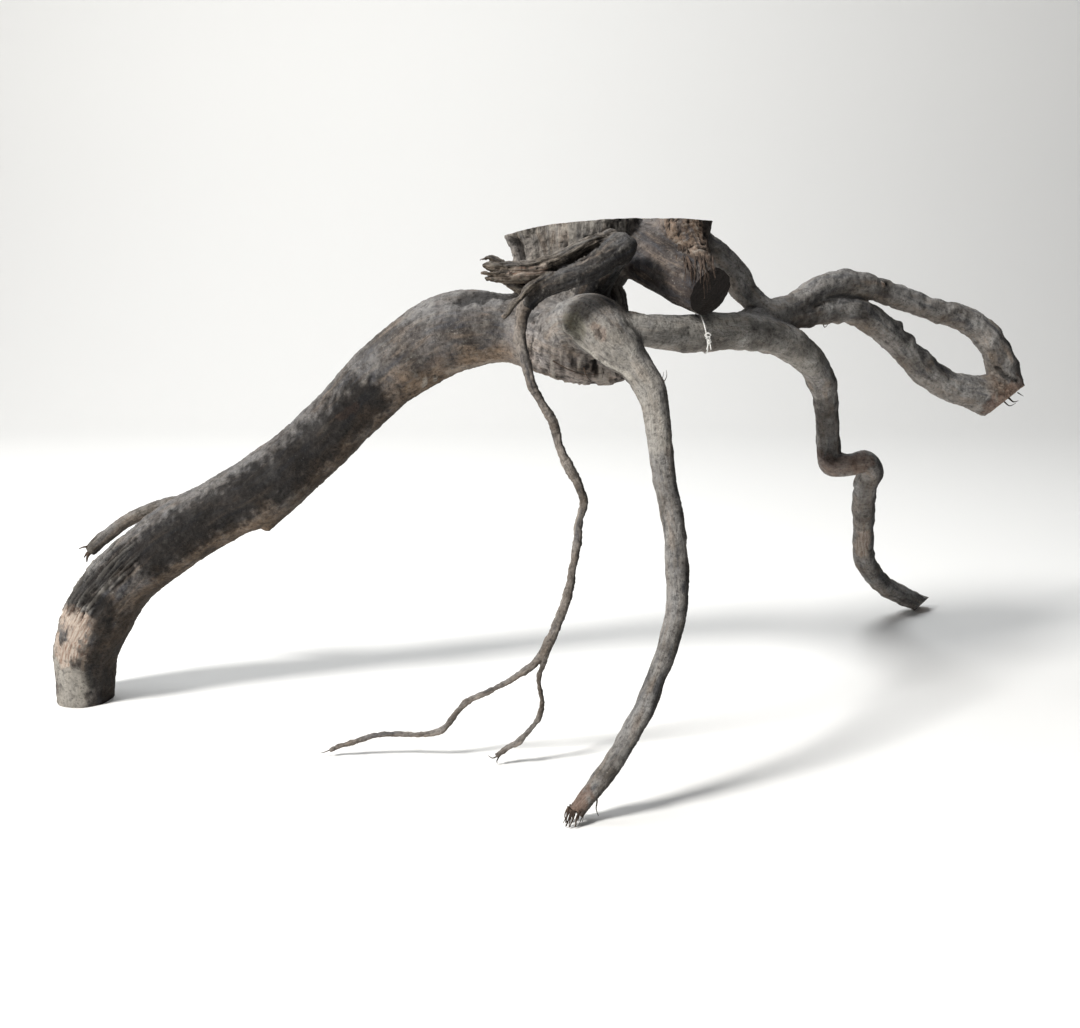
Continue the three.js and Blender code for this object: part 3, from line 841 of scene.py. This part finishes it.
thinLimbs = {
    "thinRoot": {"web": 2, "style": "thin", "stations": [(-25, -123, 333, 6), (-31, -125, 318, 4.6),
      (-32, -127, 302, 4), (-28, -129, 284, 3.6), (-24, -130, 271, 3), (-16, -131, 257, 3),
      (-10, -131, 247, 3.5), (-6, -132, 231, 2.9), (1, -133, 216, 3.6), (8, -133, 203, 3),
      (11, -133, 191, 2.8), (8, -133, 178, 2.9), (7, -133, 165, 3.2), (4, -133, 146, 2.7),
      (0, -133, 124, 3.3), (-6, -133, 106, 3.2), (-13, -133, 90, 3.6), (-19, -133, 79, 2.7),
      (-28, -133, 70, 3), (-41, -132, 61, 2), (-54, -131, 53, 2.1), (-70, -130, 45, 2.3), (-80, -129, 34, 2),
      (-91, -129, 21, 2.5), (-106, -128, 18, 1.8), (-122, -127, 18, 2), (-138, -127, 17, 1.9),
      (-150, -126, 13, 2), (-162, -126, 9, 1.7), (-174, -126, 4, 1.6)]},
    "thinFork": {"web": 2, "style": "thin", "stations": [(-12, -133, 91, 2.6), (-16, -134, 76, 2),
      (-20, -135, 63, 1.6), (-18, -137, 50, 1.6), (-18, -138, 40, 2.1), (-25, -139, 28, 1.8),
      (-33, -140, 19, 2.2), (-42, -140, 13, 2.1), (-50, -141, 7, 1.6)]},
}
buildRoot("thinRoots", thinLimbs, [], 0.75)

# Rootlets, torn fibres and frayed ends: each its radius at the start and a line of x, y, z.
hairs = [
    (0.5, [(59, -124, 268), (64, -127, 273), (66.5, -128, 278), (66, -128, 282)]),
    (0.4, [(59, -124, 272), (63.5, -127, 276), (64.5, -128, 281)]),
    (0.5, [(-10, -80, 283), (2, -84, 277), (14, -83, 273.5), (27, -84, 275)]),
    (0.45, [(12, -83, 279), (14, -84, 273), (18, -84, 268)]),
    (0.4, [(24, -84, 281), (26, -85, 276), (25, -85, 271)]),
    (0.8, [(16, -222, 22), (18, -223, 14), (17.5, -223, 8), (19, -223, 3)]),
    (0.6, [(8, -226, 12), (9, -227, 6), (8.5, -227, 1)]),
    (0.7, [(208, 42, 305), (209.5, 41, 300), (211, 41, 297), (214, 41, 300)]),
    (0.9, [(388, 102, 232), (393, 101, 228), (397, 101, 229)]),
    (0.7, [(384, 102, 229), (390, 101, 224.5), (395, 101, 227)]),
    (0.6, [(396, 102, 236), (401, 101, 233)]),
    (1.3, [(-386, 20, 119), (-394, 19, 119.5), (-399, 18, 118)]),
    (1.9, [(-386, 20, 118), (-392, 18, 112), (-393, 17, 107)]),
    (1.6, [(-386, 21, 118), (-393, 20, 114), (-396, 20, 110)]),
    (0.7, [(-48, -141, 8), (-53, -142, 6), (-56, -142, 8)]),
    (0.6, [(-48, -140, 7), (-50, -141, 3), (-49.5, -141, 1.5)]),
    (0.5, [(-172, -126, 5), (-177, -126, 3), (-180, -126, 2.5)]),
]


def makeHairs(name, lines, seed):
    strands = list(lines)
    random = np.random.default_rng(seed)
    for _ in range(30):  # torn fibres hanging from the broken side of the crown over the sawn stub
        x, drop = random.uniform(80, 102), random.gamma(4, 2.4)
        lean = random.uniform(-4, 5)
        strands.append((random.uniform(0.3, 0.7), [
            (x, -80 + random.uniform(-6, 6), 356), (x + lean * 0.4, -93 + random.uniform(-1, 2), 351),
            (x + lean * 0.8, -101 + random.uniform(-1, 1), 350 - drop * 0.5),
            (x + lean, -103 + random.uniform(-1, 1), 350 - drop)]))
    for _ in range(22):  # shorter ones standing off the torn side
        x, top = random.uniform(76, 100), random.uniform(356, 377)
        y = -61 - (377 - top) * 0.95
        strands.append((random.uniform(0.4, 0.8), [
            (x, y + 1, top), (x + random.uniform(-1, 2), y - 2.5, top - 5),
            (x + random.uniform(-2, 3), y - 6, top - 11)]))
    for _ in range(16):  # frayed tip of the front root
        angle = random.uniform(0, 2 * math.pi)
        x, y = 5 + 5.5 * math.cos(angle), -226 + 5.5 * math.sin(angle)
        strands.append((random.uniform(0.5, 1.1), [
            (x, y, 11), (x - 2 + random.uniform(-1, 1), y - 2, 6),
            (x - 3.5 + random.uniform(-2, 2), y - 3, 0.8)]))
    wires = []
    for radius, through in strands:  # each thins to a quarter of its start
        line = smoothLine([(*place, radius * (1 - 0.75 * index / (len(through) - 1)))
                           for index, place in enumerate(through)], 1.5)
        wires.append((line["centre"], line["radius"]))
    return wireMesh(name, wires)


fibreLook = {"roughness": 0.85, "specular": 0.25, "bump": 0.5, "bumpDepth": 0.0004,
             "pale": (0.09, 0.062, 0.046, 1), "dark": (0.02, 0.014, 0.01, 1)}


def makeFibreWood(name, look):
    material, tree, shader = newMaterial(name, look)
    mottle = placeMottle(tree, 7.0, 1.2)
    blend = layOver(tree, look["dark"], look["pale"], mottle["Patches"], 0.38, 0.62, 1.0)
    grit = layOver(tree, blend, look["dark"], mottle["Crumbs"], 0.5, 0.36, 0.6)
    tree.links.new(grit, shader.inputs["Base Color"])
    addBump(tree, shader, mottle["Crumbs"], look)
    return material


def finishWires(name, mesh, material, node):
    mesh.materials.append(material)
    mesh.polygons.foreach_set("use_smooth", [True] * len(mesh.polygons))
    placePiece(name, mesh, node)


fibreWood = makeFibreWood("tornFibre", fibreLook)
finishWires("hangingFibres", makeHairs("hangingFibres", hairs, 11), fibreWood, "dry_root")

# The tag thread: where it goes round the root, how thick each of its two strands is, and its knots.
threadSettings = {
    "centre": (97, -68, 302), "heading": (0.84, 0.54, 0.0), "ring": 14.9, "slant": 8,
    "strand": 0.31, "looseStrand": 0.8, "lay": 2.8,
    "knotAngle": 1.62, "knot": 2.3, "smallKnot": 1.5, "tails": (-1.6, 1.4)}


def twistedStrands(path, strand, lay):
    # two strands wound round each other along a path
    line = smoothLine([(*place, strand) for place in path], 0.5)
    lines = []
    for half in (0, math.pi):
        turn = line["along"] / lay * 2 * math.pi + half
        offset = np.cos(turn)[:, None] * line["side"] + np.sin(turn)[:, None] * line["up"]
        lines.append((strand, line["centre"] + offset * strand * 0.85))
    return lines


def knotPath(centre, size, seed):
    # a tangle of thread pulled into a small ball
    random = np.random.default_rng(seed)
    turns = np.linspace(0, 1, 46)
    tilt = turns * 2 * math.pi * 5.3
    swing = turns * 2 * math.pi * 2.1 + random.uniform(0, 6)
    ball = np.stack([np.cos(tilt) * np.cos(swing), np.sin(tilt) * np.cos(swing) * 0.8, np.sin(swing)], 1)
    return centre + size * ball


def makeThread(name, settings):
    centre = np.array(settings["centre"], float)
    heading = np.array(settings["heading"])
    across = np.cross(heading, (0, 0, 1))

    def onRing(angle, lift=0.0):
        reach = settings["ring"] + lift
        return (centre + reach * (across * math.sin(angle) + np.array([0, 0, 1]) * math.cos(angle))
                - heading * settings["slant"] * (math.sin(angle) + 0.5 * math.cos(angle)))

    ring = [onRing(angle) for angle in np.linspace(0, 2 * math.pi, 60)]
    knot = onRing(settings["knotAngle"], 1.4)
    small = knot + (1.0, -0.5, -3.8)
    loose = settings["strand"] * settings["looseStrand"]
    strands = twistedStrands(ring, settings["strand"], settings["lay"])
    strands.append((loose, knotPath(knot, settings["knot"], 3)))
    strands.append((loose, knotPath(small, settings["smallKnot"], 5)))
    for tail in settings["tails"]:
        path = [small, small + (tail * 0.5, -0.5, -2.5), small + (tail, -0.6, -5.6)]
        strands += twistedStrands(path, loose, settings["lay"])
    return wireMesh(name, [(places, [radius] * len(places)) for radius, places in strands])


threadLook = {"roughness": 0.9, "specular": 0.2, "sheen": 0.3, "bump": 0.6, "bumpDepth": 0.0002,
              "cotton": (0.86, 0.85, 0.82, 1), "dust": (0.5, 0.47, 0.42, 1)}


def makeCotton(name, look):
    material, tree, shader = newMaterial(name, look)
    crumbs = placeMottle(tree, 5.0, 0.6)["Crumbs"]
    cotton = layOver(tree, look["cotton"], look["dust"], crumbs, 0.5, 0.34, 0.5)
    tree.links.new(cotton, shader.inputs["Base Color"])
    shader.inputs["Sheen Weight"].default_value = look["sheen"]
    addBump(tree, shader, crumbs, look)
    return material


cotton = makeCotton("whiteCotton", threadLook)
finishWires("tagThread", makeThread("tagThread", threadSettings), cotton, "label_thread")

# The stage: a floor that bends up into a wall, in metres.
stageSettings = {"front": -2.4, "back": 1.3, "bend": 0.7, "wall": 2.0, "width": 8.0,
                 "shade": (0.83, 0.83, 0.82, 1), "roughness": 0.95, "specular": 0.1}


def makeStage(settings):
    sweep = bmesh.new()
    half = settings["width"] / 2
    first = sweep.edges.new([sweep.verts.new((x, settings["front"], 0)) for x in (-half, half)])

    def carry(edge, vector):
        grown = bmesh.ops.extrude_edge_only(sweep, edges=[edge])["geom"]
        bmesh.ops.translate(sweep, verts=[p for p in grown if isinstance(p, bmesh.types.BMVert)], vec=vector)
        return [p for p in grown if isinstance(p, bmesh.types.BMEdge)
                and all(v in grown for v in p.verts)][0]

    far = carry(first, (0, settings["back"] - settings["front"], 0))
    spun = bmesh.ops.spin(sweep, geom=[*far.verts, far], cent=(0, settings["back"], settings["bend"]),
                          axis=(1, 0, 0), angle=math.radians(90), steps=24, use_merge=False)["geom_last"]
    last = [p for p in spun if isinstance(p, bmesh.types.BMEdge)][0]
    carry(last, (0, 0, settings["wall"]))
    bmesh.ops.recalc_face_normals(sweep, faces=sweep.faces)
    for face in sweep.faces:
        face.smooth = True
    mesh = bpy.data.meshes.new("paleStage")
    sweep.to_mesh(mesh)
    sweep.free()
    material, _tree, shader = newMaterial("palePaper", settings)
    shader.inputs["Base Color"].default_value = settings["shade"]
    mesh.materials.append(material)
    stage = bpy.data.objects.new("paleStage", mesh)
    bpy.context.scene.collection.objects.link(stage)
    print("stage and floor made")


makeStage(stageSettings)

lamps = {
    "keyLamp": {"place": (-1.45, -1.0, 1.7), "aim": (0, 0, 0.18), "size": 0.5, "power": 78,
                "tint": (1, 0.98, 0.95)},
    "topLamp": {"place": (-0.3, 0.5, 2.0), "aim": (0, 0, 0.1), "size": 1.3, "power": 24,
                "tint": (0.97, 0.99, 1)},
}
worldSettings = {"colour": (0.95, 0.96, 1.0, 1), "strength": 0.12}


def makeLamps(settings):
    for name, lamp in settings.items():
        light = bpy.data.lights.new(name, "AREA")
        light.shape = "DISK"
        light.size = lamp["size"]
        light.energy = lamp["power"]
        light.color = lamp["tint"]
        holder = bpy.data.objects.new(name, light)
        holder.location = lamp["place"]
        towards = Vector(lamp["aim"]) - Vector(lamp["place"])
        holder.rotation_euler = towards.to_track_quat("-Z", "Y").to_euler()
        bpy.context.scene.collection.objects.link(holder)


makeLamps(lamps)
world = bpy.data.worlds.new("studio")
world.use_nodes = True
background = world.node_tree.nodes["Background"]
background.inputs["Color"].default_value = worldSettings["colour"]
background.inputs["Strength"].default_value = worldSettings["strength"]
bpy.context.scene.world = world
bpy.context.scene.view_settings.view_transform = "Standard"

cameraSettings = {"place": (-0.014, -0.938, 0.375), "pitch": 13.4, "lens": 40.0, "sensor": 36}
lens = bpy.data.cameras.new("viewCamera")
lens.lens = cameraSettings["lens"]
lens.sensor_width = cameraSettings["sensor"]
camera = bpy.data.objects.new("viewCamera", lens)
camera.location = cameraSettings["place"]
camera.rotation_euler = (math.radians(90 - cameraSettings["pitch"]), 0, 0)
bpy.context.scene.collection.objects.link(camera)
bpy.context.scene.camera = camera
print("lamps and camera placed")
